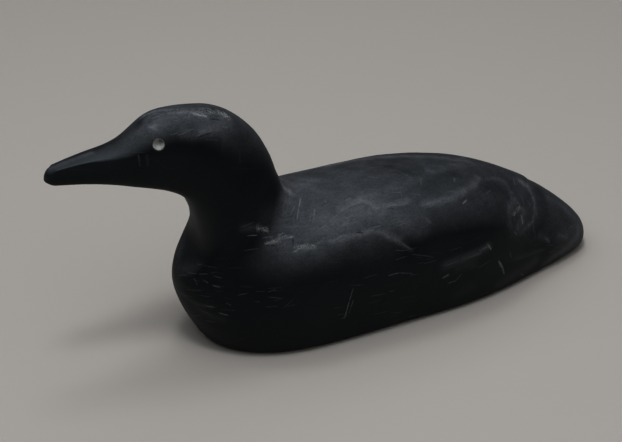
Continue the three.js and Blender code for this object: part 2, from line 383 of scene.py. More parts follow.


# Wear, chips and scratches, painted highlights and painted shade, placed by the photograph's pixels
wearAndPaintedLight = {  # soft places of wear, painted highlights, painted rim reflections and painted shade: path in pixels, width in millimetres, paleness added or taken away
    "billTop": ([(88, 151), (108, 146), (124, 137)], 3.2, -0.002),
    "billRidge": ([(95, 160), (112, 155), (124, 147)], 1.6, 0.004),
    "billEnd": ([(47, 169), (60, 164), (75, 158), (90, 153)], 1.4, 0.03),
    "brow": ([(126, 140), (140, 131), (152, 127)], 2.6, 0.012),
    "browSpot": ([(151, 127), (154, 127)], 1.1, 0.05),
    "foreheadRim": ([(141, 117), (150, 112), (166, 108.5)], 0.8, 0.05),
    # foreheadHollow and crownHollow: painted shade in the head's hollows
    "foreheadHollow": ([(140, 123), (153, 116.5), (170, 110.5)], 1.6, -0.028),
    "crownTop": ([(176, 108.5), (192, 107), (208, 108), (222, 112)], 1.8, -0.024),
    "crownEdge": ([(169, 113), (182, 112), (194, 112.5), (205, 115)], 0.6, 0.045),
    "crownHollow": ([(176, 124), (184, 123), (192, 123)], 1.9, -0.012),
    # painted highlight along the cheek's ridge
    "cheekTop": ([(184, 134), (192, 136), (204, 131), (216, 129)], 2, 0.03),
    "cheekBack": ([(205, 126), (218, 128), (226, 124)], 3, 0.02),
    "napeSide": ([(232, 124), (242, 134)], 3.5, -0.015),
    # throat and breastRim: painted rim reflection along the left outline of the neck and the breast
    "throat": ([(194, 226), (200, 236)], 1.6, 0.012),
    "breastTop": ([(184, 256), (196, 262), (206, 264)], 4, -0.03),
    "breastRim": ([(186, 226), (180, 245), (178, 270), (182, 292)], 2, 0.014),
    "breastLine": ([(182, 294), (192, 302), (204, 306), (212, 307)], 0.7, 0.035),
    "breastLow": ([(196, 308), (210, 316), (222, 320)], 1.6, 0.018),
    "creaseEnd": ([(281, 181), (284, 187), (289, 191)], 1.5, 0.09),
    "creaseGlow": ([(286, 199), (294, 188), (308, 181)], 4, 0.035),
    "neckFoot": ([(243, 228), (258, 228)], 1.5, 0.03),
    "shoulderTop": ([(268, 214), (282, 210)], 3.5, 0.018),
    "shoulderLow": ([(262, 227), (275, 240), (300, 246)], 3.5, 0.009),
    "wingFront": ([(300, 232), (318, 226), (340, 222)], 5, 0.006),
    "wingFace": ([(330, 226), (346, 218), (366, 212)], 5.5, 0.03),
    "wingMiddle": ([(384, 214), (402, 222), (418, 232)], 4.5, 0.022),
    "wingShoulder": ([(341, 208), (352, 203), (362, 200), (370, 203), (377, 208)], 1.2, 0.036),
    "wingLow": ([(330, 241), (346, 238), (360, 234), (374, 231), (388, 235), (399, 239)],
                1.2, 0.042),
    "wingLowEnd": ([(388, 238), (402, 244), (412, 251)], 0.8, 0.03),
    "wingRear": ([(384, 206), (398, 203), (409, 200)], 1.2, 0.04),
    "wingTop": ([(424, 204), (437, 202), (452, 198), (462, 192)], 1.5, 0.055),
    "wingTip": ([(465, 190), (473, 187), (478, 178)], 1.3, 0.04),
    # painted rim reflection along the back's top outline
    "backRim": ([(330, 165), (370, 158), (400, 156), (440, 157), (470, 162)], 2.5, 0.038),
    "backMiddle": ([(366, 187), (398, 184), (428, 188)], 3.4, -0.013),
    # backHollow, backHollowRear and rumpHollow: painted shade in the shallow hollows of the back
    "backHollow": ([(376, 167), (392, 166)], 1, -0.025),
    "backHollowRear": ([(402, 171), (430, 178), (452, 172)], 3.6, -0.018),
    "rumpHollow": ([(484, 186), (498, 188), (505, 194)], 2.6, -0.01),
    "backEndInner": ([(487, 179), (497, 178), (505, 182), (510, 190), (512, 200), (511, 212)],
                     0.9, 0.022),
    "backEnd": ([(519, 180), (527, 186), (533, 196), (536, 206), (536, 214), (533, 222), (522, 233)],
                1.4, 0.024),
    "backEndTop": ([(521, 181), (528, 186)], 1.8, 0.03),
    "backEndFace": ([(517, 204), (524, 214), (518, 230)], 2.6, 0.03),
    "backEndEdge": ([(509, 206), (509, 213), (511, 226)], 1, 0.035),
    # painted shade under the wing
    "underWing": ([(414, 246), (440, 242), (470, 236), (500, 234)], 4.2, -0.019),
    "flankBand": ([(446, 265), (462, 259), (477, 253), (488, 246)], 1.9, 0.05),
    "flankBandLow": ([(458, 268), (474, 264)], 1.6, 0.02),
    "hindFlank": ([(455, 296), (470, 288)], 2.6, 0.012),
    # painted shade behind the step at the end of the back
    "behindBackEnd": ([(541, 191), (545, 206), (544, 222), (536, 234)], 2.4, -0.014),
    # tailRim and tailEdge: painted rim reflection along the tail's outline
    "tailRim": ([(548, 196), (562, 205), (574, 217)], 1.8, 0.022),
    "tailEdge": ([(579, 226), (577, 237), (568, 247), (555, 256), (545, 264)], 1.8, 0.05),
    "tailPatch": ([(541, 236), (549, 240)], 1.6, 0.025),
    "tailPatchRear": ([(560, 236), (567, 237)], 1.3, 0.03),
    "tailLines": ([(516, 259), (530, 254), (544, 250)], 1.1, 0.018),
    "tailSide": ([(500, 285), (520, 272), (535, 262)], 2.5, 0.028),
}
strokes = {  # scratches and chips: from and to in pixels, half width in millimetres, paleness
    "crown": [((210, 112), (217, 114.5), 0.2, 0.14), ((223, 110.5), (229, 117), 0.3, 0.2),
              ((193, 113), (206, 116.5), 0.22, 0.2), ((206, 107), (211, 109), 0.25, 0.12),
              ((211, 119), (220, 120), 0.3, 0.005), ((163, 112), (170, 109.5), 0.25, 0.11)],
    "cheek": [((197, 135.5), (204, 132.5), 0.3, 0.12), ((204, 132.5), (212, 130), 0.25, 0.1),
              ((198, 137.5), (212, 132.5), 0.25, 0.01)],
    "brow": [((151, 127), (154, 126.5), 0.45, 0.14), ((138.5, 155), (140, 166), 0.35, 0.045),
             ((147, 156), (148, 165), 0.6, 0.02)],
    "neckFoot": [((257, 228.5), (268, 231), 0.5, 0.1), ((248, 227.5), (258, 227), 0.25, 0.06),
                 ((240, 230.5), (251, 229.5), 0.2, 0.045), ((247, 235.7), (257, 235.2), 0.22, 0.14),
                 ((246, 234), (258, 233.5), 0.2, 0.005), ((262, 238), (274, 236), 0.25, 0.1),
                 ((265, 243.5), (280, 240), 0.5, 0.1), ((266, 245.5), (279, 245), 0.25, 0.01),
                 ((279, 235), (284, 232.5), 0.3, 0.16), ((282, 237.5), (286, 235), 0.2, 0.12),
                 ((286, 238.5), (293.5, 236), 0.3, 0.14), ((286, 227.5), (297, 226.5), 0.4, 0.09),
                 ((297, 226.5), (307, 226), 0.3, 0.09), ((275, 222), (276, 224.5), 0.25, 0.12)],
    "shoulder": [((297, 246), (313, 246.5), 0.7, 0.1), ((294, 252), (299, 248), 0.3, 0.14),
                 ((311, 245), (320, 241), 0.25, 0.09), ((293, 238), (293.3, 246), 0.3, 0.006),
                 ((300.5, 198), (299, 206), 0.22, 0.2), ((299, 205), (297, 219), 0.22, 0.14),
                 ((295, 206), (290.5, 214.5), 0.25, 0.12), ((288, 208), (286, 213), 0.22, 0.1),
                 ((315, 209), (313, 215), 0.28, 0.12), ((325, 200), (326, 202), 0.35, 0.1)],
    "wing": [((346, 200), (350, 198.5), 0.35, 0.11), ((343, 226), (345, 222), 0.3, 0.1),
             ((338, 217), (345, 213), 0.2, 0.09), ((350, 222), (362, 214), 0.2, 0.1),
             ((356, 232.5), (363, 233), 0.25, 0.012), ((388, 208), (394, 208.5), 0.25, 0.02),
             ((318, 230), (329, 222), 0.3, 0.09), ((328, 222.5), (341, 211.5), 0.3, 0.1),
             ((340, 212), (353, 204), 0.3, 0.11), ((352, 204.5), (364, 200), 0.3, 0.13),
             ((365, 200), (378, 208), 0.35, 0.12), ((392, 206), (409, 203), 0.3, 0.11),
             ((330, 240.5), (346, 238), 0.25, 0.11), ((346, 237.5), (362, 234), 0.28, 0.12),
             ((362, 231), (374, 229.5), 0.28, 0.12), ((376, 231), (388, 234.5), 0.25, 0.11),
             ((388, 236), (402, 242), 0.3, 0.1), ((402, 243), (412, 250), 0.3, 0.1),
             ((427, 219), (430, 222), 0.7, 0.08), ((463, 203.5), (466.5, 200), 0.35, 0.16)],
    "back": [((372, 168), (384, 166), 0.2, 0.07), ((388, 169), (398, 170.5), 0.22, 0.07),
             ((398, 170.5), (412, 178), 0.22, 0.07), ((425, 167), (434, 171), 0.3, 0.06),
             ((421, 178), (421, 184), 0.35, 0.07), ((454, 178), (454.5, 181), 0.4, 0.08),
             ((448, 191), (462, 192), 0.3, 0.08), ((487, 193), (491, 190), 0.3, 0.07)],
    "backEnd": [((513.5, 215), (519, 211), 0.4, 0.098), ((518, 211), (520.5, 205), 0.25, 0.098),
                ((522.5, 217.5), (524, 221), 0.5, 0.082), ((528, 201), (530.5, 205.5), 0.3, 0.115),
                ((515, 232), (517.5, 234.5), 0.4, 0.098), ((508, 206), (509, 213), 0.35, 0.074),
                ((504, 181), (506, 183), 0.35, 0.09), ((512, 192), (514, 193), 0.35, 0.082),
                ((528, 184), (531, 190), 0.35, 0.098), ((534, 198), (536, 203), 0.3, 0.082),
                ((522, 193), (521, 197), 0.3, 0.066), ((536, 206), (535, 218), 0.22, 0.082),
                ((532, 222), (525, 230), 0.25, 0.082), ((520, 220), (517, 227), 0.25, 0.082)],
    "flank": [((353.5, 288), (349.5, 301), 0.2, 0.13), ((349.5, 301), (344.5, 319), 0.26, 0.16),
              ((353.5, 300), (351, 308), 0.25, 0.09), ((351, 308), (349, 314), 0.2, 0.07),
              ((337, 315), (346, 314), 0.25, 0.05), ((342, 319), (347, 315.5), 0.3, 0.08),
              ((371, 296.5), (385, 294), 0.2, 0.06), ((389, 275.5), (399, 273), 0.28, 0.13),
              ((399, 273), (413, 273.5), 0.2, 0.1), ((412, 254.5), (434, 257), 0.22, 0.06),
              ((424, 264), (437, 260.5), 0.2, 0.055), ((443.5, 278), (448.5, 275), 0.5, 0.13),
              ((448, 283.5), (456, 281), 0.28, 0.1), ((456, 281), (462, 274), 0.25, 0.09)],
    "hindFlank": [((488, 244.5), (491.5, 249.5), 0.35, 0.2), ((487, 247), (480, 250.5), 0.35, 0.12),
                  ((499.5, 262), (503, 268), 0.5, 0.2), ((503, 267), (504.5, 274), 0.3, 0.14),
                  ((521.5, 274), (523.5, 275.5), 0.35, 0.14), ((445, 266), (460, 260), 0.2, 0.1),
                  ((458, 262.5), (478, 254), 0.18, 0.09), ((470, 257.5), (487, 248.5), 0.18, 0.1)],
    "tail": [((510.5, 252.5), (511.5, 258), 0.35, 0.056), ((560, 248.5), (567, 245.5), 0.25, 0.096),
             ((549, 253.5), (559, 249.5), 0.2, 0.072), ((547, 238), (550, 242), 0.5, 0.088),
             ((562, 235.5), (566, 237), 0.4, 0.096), ((516, 259.5), (531, 256), 0.15, 0.04),
             ((528, 256), (546, 249), 0.15, 0.04), ((556, 257), (561, 253), 0.4, 0.096),
             ((572, 240), (577, 236), 0.5, 0.096), ((570, 228), (577, 224), 0.4, 0.072)],
    "breast": [((199, 274), (207, 274), 0.2, 0.08), ((194, 278), (197, 284.5), 0.22, 0.08),
               ((203, 280), (208, 283), 0.25, 0.07), ((213, 285.5), (220, 287.5), 0.25, 0.11),
               ((205, 306), (213, 307), 0.22, 0.09), ((219, 313), (228, 315.5), 0.28, 0.14),
               ((200, 310), (212, 315), 0.22, 0.06), ((226, 303), (231, 305.5), 0.22, 0.06),
               ((268, 292), (275, 290), 0.2, 0.06), ((268, 297), (281, 298.5), 0.22, 0.05)],
}
scuffs = {  # seeded short scratches: corners of their area in pixels, direction, how many
    "breast": ((182, 264), (228, 322), (1, 0.15), 32),
    "breastSide": ((236, 286), (300, 308), (1, -0.1), 12),
    "neckFoot": ((240, 222), (302, 252), (1, -0.12), 26),
    "crease": ((284, 194), (320, 222), (-0.25, 1), 12),
    "wing": ((320, 200), (402, 240), (1, -0.4), 24),
    "back": ((360, 162), (452, 196), (1, 0.15), 20),
    "underWing": ((396, 248), (440, 264), (1, -0.1), 10),
    "backEnd": ((506, 180), (538, 236), (0.25, 1), 24),
    "flank": ((330, 272), (470, 322), (1, -0.15), 20),
    "flankBand": ((444, 246), (492, 268), (1, -0.45), 16),
    "tail": ((506, 240), (576, 264), (1, -0.4), 16),
    "head": ((150, 108), (232, 140), (1, -0.2), 14),
}
chips = {  # clusters of small chips: path in pixels, width in millimetres, how thick they lie
    "crown": ([(199, 114), (209, 111), (219, 111.5)], 2, 0.78),
    "crownEnd": ([(219, 111.5), (228, 116.5)], 1.7, 1),
    "crownEdge": ([(194, 113.5), (206, 116)], 1, 1),
    "crownTop": ([(170, 109), (190, 107.5), (208, 108.5)], 1.8, 0.68),
    "browTop": ([(141, 117), (152, 112)], 1.2, 0.6),
    "neckFootUpper": ([(258, 228), (267, 230)], 1.7, 0.84),
    "neckFootMiddle": ([(280, 236), (291, 236.5)], 1.5, 0.75),
    "neckFootLower": ([(268, 242.5), (279, 240)], 1.7, 0.84),
    "shoulder": ([(296, 248), (304, 246), (314, 246)], 1.6, 0.84),
    "shoulderSide": ([(311, 246), (321, 240.5)], 0.9, 0.7),
    "crease": ([(301, 198), (298, 215)], 0.9, 0.55),
    "backEndMiddle": ([(513, 215), (520, 206)], 1.2, 0.8),
    "backEndLow": ([(522, 216), (523.5, 223)], 1.4, 0.8),
    "backEndRim": ([(527, 186), (535, 202), (534, 220), (524, 231)], 1.6, 0.6),
    "backEndFace": ([(516, 200), (525, 212), (519, 228)], 2.4, 0.52),
    "flankEnd": ([(486, 247.5), (492, 247)], 1.0, 0.75),
    "hindFlank": ([(499.5, 261), (504, 274)], 0.9, 0.75),
    "wingFront": ([(343, 224), (352, 216)], 1.6, 0.5),
}
wingGroove = [(412, 252), (440, 250), (480, 240), (510, 240), (535, 245)]
# Dust and wear on what faces up, with painted top light that makes the lit tops paler still, and paler
# sides of the tail and the bill
dustAndPaintedTopLight = {
    "along": [-110, -85, -70, -45, -20, 0, 30, 55, 80, 95, 110],  # x where these hold:
    "paleness": [0.01, 0.013, 0.056, 0.054, 0.048, 0.046, 0.035, 0.033, 0.04, 0.04, 0.049],
    "starts": [0.3, 0.3, 0.3, 0.3, 0.15, 0.05, 0.02, 0, 0, 0, 0],  # upward part of the facing
    "full": [0.8, 0.8, 0.8, 0.75, 0.65, 0.75, 0.75, 0.7, 0.6, 0.5, 0.5],  # from none to all of it
    "tailSides": 0.045,  # paleness of the tail's sides
    "tailFrom": (80, 96),  # x from none to all of it
    "tailFaces": (0.1, 0.5),  # upward part of the facing from all to none
    "billSides": 0.018,
    "billFrom": (-90, -80),  # x from all to none
    "billFaces": 0.15,  # upward part of the facing where it is most, and how far it spreads
    "farSide": 0.45,  # how much of the listed places of wear and painted light the right side repeats
}
shortMarks = {  # the seeded scuffs of the scuffed areas
    "turn": 0.16,  # how unevenly they lie
    "reach": (2, 8),  # half length in pixels
    "paleness": (0.01, 0.07),
    "onPale": 1.2,  # times the paleness of the stone round them, which is added
    "halfWidth": (0.09, 0.24),
}
longMarks = {  # the seeded marks all over and on the hidden side
    # name: how many, x, y and z share of their direction, then the least and most of
    # length, half width and paleness
    "hairlines": (320, (1, 0.35, 0.35), (3, 13), (0.08, 0.15), (0.003, 0.02)),
    "farScuffs": (46, (1, 0.35, 0.35), (1.2, 5.5), (0.2, 0.45), (0.05, 0.12)),
    "onPale": 1.25,
    "above": 3,  # z from which on they lie
    "right": 3,  # y from which on the far scuffs lie
}
patches = {  # the skin that a mark is laid on
    "layers": 6,
    "across": 1.3,  # half widths to the ragged edge
    "round": (1.6, 3),  # millimetres beyond that edge, and off the mark's plane
    "clear": (3, 4.5),  # the same for what no other mark of the layer may touch
}


# The top line of the head, as the x and z that its battens have at even distances.
def ridgeLine():
    s = np.linspace(knotOf("billBase"), knotOf("nape"), spacing["ridgeSteps"])
    return bent[0](s), bent[1](s)


# The relief in millimetres along the outward direction: rubbed waves, the step behind the end
# of the back, which is an ellipse in plan, the groove under the wing, the flank's low ridge,
# the chipped places and the flat crown. It fades out at the ground.
def relief(points, facing):
    x, y, z = points.T
    count, share, sink = form["waveCount"], form["waverShort"], form["waverSink"]
    longWaves, shortWaves = (waves(points, length, count) for length in form["waverLengths"])
    depth = form["waver"] / 2 * (longWaves + share * shortWaves - sink)
    middle, halfLength, halfWidth = form["backEnd"]
    ring = np.hypot((x - middle) / halfLength, y / halfWidth)
    behind = smooth(*form["stepWidth"], ring) * smooth(*form["stepStart"], x)
    behind = behind * smooth(*form["stepHeight"], z)
    depth = depth - form["tailStep"] * behind * (1 - smooth(*form["stepEnd"], x))
    groove = nearBoth(points, onBird(wingGroove, points, facing)[0], form["grooveWidth"])
    ridge = onBird(wearAndPaintedLight["flankBand"][0], points, facing)[0]
    depth = depth - form["grooveDepth"] * groove
    depth = depth + form["ridgeHeight"] * nearBoth(points, ridge, form["ridgeWidth"])
    chipped = smooth(*form["chipStops"], waves(points, form["chipSize"], form["chipWaves"]))
    depth = depth - form["chipDepth"] * clusters(points, facing) * chipped
    flat = np.interp(x, form["crownEnds"], [0, 1, 1, 0]) * (facing[:, 2] > form["crownFaces"])
    above = np.maximum(z - (np.interp(x, *ridgeLine()) - form["crownFlat"]), 0) * flat
    return depth * smooth(*form["groundFade"], z) - above


# How thickly chips lie, from 0 to 1: the thickest of the named clusters at each point.
def clusters(points, facing):
    thick = np.zeros(len(points))
    for path, width, amount in chips.values():
        line = onBird(path, points, facing)[0]
        thick = np.maximum(thick, amount * nearPath(points, line, width))
    return thick


# How pale the stone is: dust and wear on what faces up, made paler there as painted top light,
# the tail's and the bill's sides, and the listed places of wear, painted rim reflections and
# painted shade, the right side repeating the left more faintly.
def paleness(points, facing):
    x, up = points[:, 0], facing[:, 2]
    amount, starts, full = (
        np.interp(x, dustAndPaintedTopLight["along"], dustAndPaintedTopLight[key]) for key in ("paleness", "starts", "full")
    )
    dustWearAndPaintedLight = amount * smooth(starts, full, up)
    tail = smooth(*dustAndPaintedTopLight["tailFrom"], x) * (1 - smooth(*dustAndPaintedTopLight["tailFaces"], up))
    bill = np.exp(-(((up - dustAndPaintedTopLight["billFaces"]) / dustAndPaintedTopLight["billFaces"]) ** 2))
    bill = (1 - smooth(*dustAndPaintedTopLight["billFrom"], x)) * bill
    dustWearAndPaintedLight = dustWearAndPaintedLight + dustAndPaintedTopLight["tailSides"] * tail + dustAndPaintedTopLight["billSides"] * bill
    for path, width, strength in wearAndPaintedLight.values():
        line = onBird(path, points, facing)[0]
        dustWearAndPaintedLight = dustWearAndPaintedLight + strength * nearBoth(points, line, width, dustAndPaintedTopLight["farSide"])
    return np.clip(dustWearAndPaintedLight, 0, None)


# Every scratch as its two ends, the outward direction, half width and paleness: those of the
# photograph, its scuffed areas, thin seeded hairlines all over and scuffs on the hidden side.
def gatherMarks(points, facing, pale):
    found = []
    for start, end, half, bright in (stroke for group in strokes.values() for stroke in group):
        ends, normals = onBird([start, end], points, facing)
        found.append((ends[0], ends[1], normals.mean(0), half, bright))
    for low, high, way, count in scuffs.values():
        middle = random.uniform(low, high, (count, 2))
        way = np.array(way) + random.normal(0, shortMarks["turn"], (count, 2))
        length = random.uniform(*shortMarks["reach"], (count, 1))
        way *= length / np.linalg.norm(way, axis=1)[:, None]
        places, normals = onBird(np.concatenate([middle - way, middle + way]), points, facing)
        starts, ends = places[:count], places[count:]
        near = np.argmin(np.linalg.norm(points[None] - starts[:, None], axis=-1), axis=1)
        bright = shortMarks["onPale"] * pale[near]
        bright = bright + random.uniform(*shortMarks["paleness"], count)
        half = random.uniform(*shortMarks["halfWidth"], count)
        found += zip(starts, ends, normals[:count] + normals[count:], half, bright)
    raised = points[:, 2] > longMarks["above"]
    right = raised & (points[:, 1] > longMarks["right"])
    for name, area in (("hairlines", raised), ("farScuffs", right)):
        count, shares, lengths, halfWidths, levels = longMarks[name]
        for i in random.choice(np.flatnonzero(area), count, replace=False):
            way = random.normal(size=3) * shares
            way -= (way @ facing[i]) * facing[i]
            way *= random.uniform(*lengths) / 2 / np.linalg.norm(way)
            bright = longMarks["onPale"] * pale[i] + random.uniform(*levels)
            half = random.uniform(*halfWidths)
            found.append((points[i] - way, points[i] + way, facing[i], half, bright))
    return found


# The marks laid out in layers, so that no two patches of one layer meet. Each point of a patch
# gets its place across the mark in half widths, along it in half lengths, and a 1 for inside.
def layMarks(points, found):
    count = patches["layers"]
    layers = np.zeros((count, len(points), 3))
    levels = np.zeros((count, len(points)))
    taken = np.zeros((count, len(points)), bool)
    laid = 0
    for start, end, normal, half, bright in found:
        normal = normal / np.linalg.norm(normal)
        way = (end - start) / 2
        way = way - (way @ normal) * normal
        length = np.linalg.norm(way)
        offset = points - (start + end) / 2
        along = offset @ (way / length)
        across = offset @ np.cross(normal, way / length)
        off = np.abs(offset @ normal)
        beyond = np.maximum(
            np.abs(along) - length - half, np.abs(across) - patches["across"] * half
        )
        patch, clear = (
            (beyond < patches[key][0]) & (off < patches[key][1]) for key in ("round", "clear")
        )
        free = [k for k in range(count) if not taken[k][clear].any()]
        if not free or not patch.any():
            continue
        k = free[0]
        place = [across[patch] / half, along[patch] / (length + half), np.ones(patch.sum())]
        layers[k][patch] = np.stack(place, 1)
        levels[k][patch] = bright
        taken[k] |= patch
        laid += 1
    return layers, levels, laid


# The eye: points nearer the pit's axis than its radius sink to a cone below the rim, its depth
# times 1 - away^hollow. The raw stone's share is 1 there, less a bell-shaped spot of painted shade
# in the pit's upper part.
def sinkEye(points, side):
    centre = np.array(eye["at"]) * [1, -side, 1]
    facing = np.array(eye["faces"]) * [1, -side, 1]
    facing = facing / np.linalg.norm(facing)
    offset = points - centre
    proud = offset @ facing
    away = np.linalg.norm(offset - proud[:, None] * facing, axis=1) / eye["radius"]
    near = (away < 1) & (np.abs(proud) < eye["reach"])
    cone = -eye["depth"] * (1 - away ** eye["hollow"])
    sunk = np.where(near, np.minimum(proud, cone), proud)
    inside = np.where(near, 1 - smooth(*eye["rawEdge"], away), 0)
    # painted shade: the raw stone's share drops in a bell-shaped spot
    fromPitShade = (offset[:, [0, 2]] - eye["pitShadeAt"]) / eye["pitShadeSize"]
    inside = inside * (1 - eye["pitShade"] * np.exp(-(fromPitShade**2).sum(1)))
    return points + (sunk - proud)[:, None] * facing, inside


# A piece from points in millimetres, smooth but for its sharp edges.
def addMesh(name, points, faces):
    mesh = bpy.data.meshes.new(name)
    mesh.from_pydata((points * mm).tolist(), [], faces.tolist())
    mesh.validate()
    mesh.shade_smooth()
    mesh.set_sharp_from_angle(angle=math.radians(form["sharpAngle"]))
    piece = bpy.data.objects.new(name, mesh)
    bpy.context.scene.collection.objects.link(piece)
    return piece


# Values for every point of a piece, which its material reads by their name.
def addField(piece, name, values, kind="FLOAT"):
    field = piece.data.attributes.new(name, kind, "POINT")
    flat = np.ascontiguousarray(values, dtype=np.float32).ravel()
    field.data.foreach_set("value" if kind == "FLOAT" else "vector", flat)


# The bird: the plain skin says where wear, marks, painted top light, painted rim reflections and
# painted shade lie, and then its points are moved by the relief along the outward direction and
# into the two eyes.
def addCarving():
    plain, faces = skin()
    facing = outward(plain, faces)
    pale = paleness(plain, facing)
    found = gatherMarks(plain, facing, pale)
    layers, levels, laid = layMarks(plain, found)
    points = plain + facing * relief(plain, facing)[:, None]
    points, leftIn = sinkEye(points, -1)
    points, rightIn = sinkEye(points, 1)
    piece = addMesh("loonCarving", points, faces)
    addField(piece, "pale", pale)
    addField(piece, "chipped", clusters(plain, facing))
    addField(piece, "pit", leftIn + rightIn)
    for k, (layer, level) in enumerate(zip(layers, levels)):
        addField(piece, f"mark{k}", layer, "FLOAT_VECTOR")
        addField(piece, f"level{k}", level)
    print("carving:", len(points), "points,", len(faces), "triangles,", laid, "of", len(found), "marks")
    return piece


carving = addCarving()


class Field:  # one socket of a material, so that shader maths is written as Python
    def __init__(self, maker, socket):
        self.maker, self.socket = maker, socket

    def __add__(self, other):
        return self.maker.math("ADD", self, other)

    def __radd__(self, other):
        return self.maker.math("ADD", other, self)

    def __sub__(self, other):
        return self.maker.math("SUBTRACT", self, other)

    def __rsub__(self, other):
        return self.maker.math("SUBTRACT", other, self)

    def __mul__(self, other):
        return self.maker.math("MULTIPLY", self, other)

    def __rmul__(self, other):
        return self.maker.math("MULTIPLY", other, self)

    def __truediv__(self, other):
        return self.maker.math("DIVIDE", self, other)

    def __rtruediv__(self, other):
        return self.maker.math("DIVIDE", other, self)


class Maker:  # adds nodes to one material
    def __init__(self, name):
        self.material = bpy.data.materials.new(name)
        self.material.use_nodes = True
        self.tree = self.material.node_tree
        self.shader = self.tree.nodes["Principled BSDF"]

    # A node of any kind, its settings first, then the values or links of its sockets.
    def add(self, kind, settings=None, values=None, outlet=0):
        node = self.tree.nodes.new(kind)
        for name, value in (settings or {}).items():
            setattr(node, name, value)
        for name, value in (values or {}).items():
            self.feed(node.inputs[name], value)
        return Field(self, node.outputs[outlet])

    def feed(self, socket, value):
        if isinstance(value, Field):
            self.tree.links.new(value.socket, socket)
        else:
            socket.default_value = value

    def math(self, operation, *values):
        return self.add("ShaderNodeMath", {"operation": operation}, dict(enumerate(values)))

    # Any other maths on colours and places, such as MULTIPLY part by part.
    def vector(self, operation, *values):
        return self.add("ShaderNodeVectorMath", {"operation": operation}, dict(enumerate(values)))

    def scale(self, vector, factor):
        values = {0: vector, "Scale": factor}
        return self.add("ShaderNodeVectorMath", {"operation": "SCALE"}, values)

    def mix(self, factor, first, second):
        return self.add("ShaderNodeMix", {"data_type": "RGBA"}, {0: factor, 6: first, 7: second}, 2)

    # 0 up to low and 1 from high on, as smooth does it.
    def ramp(self, value, low, high):
        settings = {"interpolation_type": "SMOOTHSTEP"}
        return self.add("ShaderNodeMapRange", settings, {0: value, 1: low, 2: high, 3: 0.0, 4: 1.0})

    def noise(self, place, scale, detail, rough):
        values = {"Vector": place, "Scale": scale, "Detail": detail, "Roughness": rough}
        return self.add("ShaderNodeTexNoise", None, values)

    def attribute(self, name, outlet="Fac"):
        return self.add("ShaderNodeAttribute", {"attribute_name": name}, None, outlet)


def colour(*rgb):
    return (*rgb, 1.0)


stone = {
    "dark": colour(0.0018, 0.0026, 0.0038),
    "grey": colour(0.0045, 0.0056, 0.0074),
    # palest: the colour of dust, wear and marks, and of the painted light on the tops
    "palest": colour(0.4, 0.4, 0.435),
    "chip": colour(0.36, 0.36, 0.34),
    "raw": colour(0.42, 0.42, 0.4),
    "rawSpots": colour(0.24, 0.24, 0.23),
    "dust": 0.018,
    "roughness": 0.45,
    "cloudRoughness": 0.1,
    "paleRoughness": 1.4,  # roughness gained for each step of paleness
    "chipRoughness": 0.3,
    "roughest": 0.85,
    "refraction": 1.42,
    "gloss": colour(0.84, 0.94, 1.0),  # the polish gives a bluish sheen
    "cloudStops": (0.35, 0.7),  # from dark to grey
    "rawStops": (0.46, 0.66),
}
bump = {  # how much each thing raises or sinks the surface, before its strength and height
    "grain": 0.3,
    "brushed": 0.35,
    "speck": 0.1,
    "marks": 0.7,
    "cracks": 0.5,
    "flecks": 1.2,
    "strength": 0.35,
    "height": 0.12,  # in millimetres
}
grains = {  # places per millimetre, detail and roughness of the stone's noises
    "cloud": (0.06, 4.0, 0.55),
    "blotch": (0.24, 5.0, 0.68),
    "grain": (1.3, 4.0, 0.7),
    "fine": (2.2, 3.0, 0.7),
    "speck": (3.2, 2.0, 0.6),
    "raw": (0.9, 3.0, 0.6),
}
brushing = {"stretch": (0.25, 0.6, 2.2), "noise": (0.8, 4.0, 0.7)}  # streaks along the bird
cracks = {
    "scale": 0.5,
    "bend": 1.6,  # how far, and how many bends per millimetre
    "bends": 0.7,
    "width": (0.02, 0.14),
    "paleness": 0.16,
    "onBlotch": 0.5,  # how far a pale blotch lowers what they need
}
paleLook = {  # how uneven the pale places are, dust, wear and painted light alike
    "parts": (0.4, 0.3, 0.3),  # share of blotches, brushing and grain
    "stops": (0.38, 0.62),
    "least": 0.72,  # share of the paleness that the places lowest in this texture keep
    "gain": 0.56,
    "specks": 1.3,  # how much specks and grain stand out in them
    "grains": 0.55,
    "dustStops": (0.56, 0.76),
}
markLook = {
    "ragged": 3.2,  # how far the grain shifts the edge
    "edge": (0.45, 1.3),  # from the whole mark to none
    "gapParts": (0.6, 0.4),  # share of specks and fine grain in the gaps
    "gapStops": (0.4, 0.56),
    "faintest": 0.2,  # what is left of a mark in its gaps
    "inside": 0.98,  # of the 1 that a whole patch has
}
chipLook = {
    "crackStops": (0.55, 0.95),
    "thickness": 0.42,  # how far a cluster lowers what a fleck needs
    "stops": (0.82, 0.98),
    "paleness": 0.7,
}


# One layer of marks: inside the ellipse-like curve across^2 + along^4 = 1 with a ragged edge,
# and broken up along its length.
def markLayer(make, k, ragged, broken):
    vector = make.attribute(f"mark{k}", "Vector")
    parts = make.add("ShaderNodeSeparateXYZ", None, {0: vector}).socket.node.outputs
    across, along, inside = (Field(make, socket) for socket in parts)
    along = along * along
    edge = across * across + along * along + ragged
    inside = make.math("GREATER_THAN", inside, markLook["inside"])
    mark = (1 - make.ramp(edge, *markLook["edge"])) * inside
    return mark * broken, make.attribute(f"level{k}")
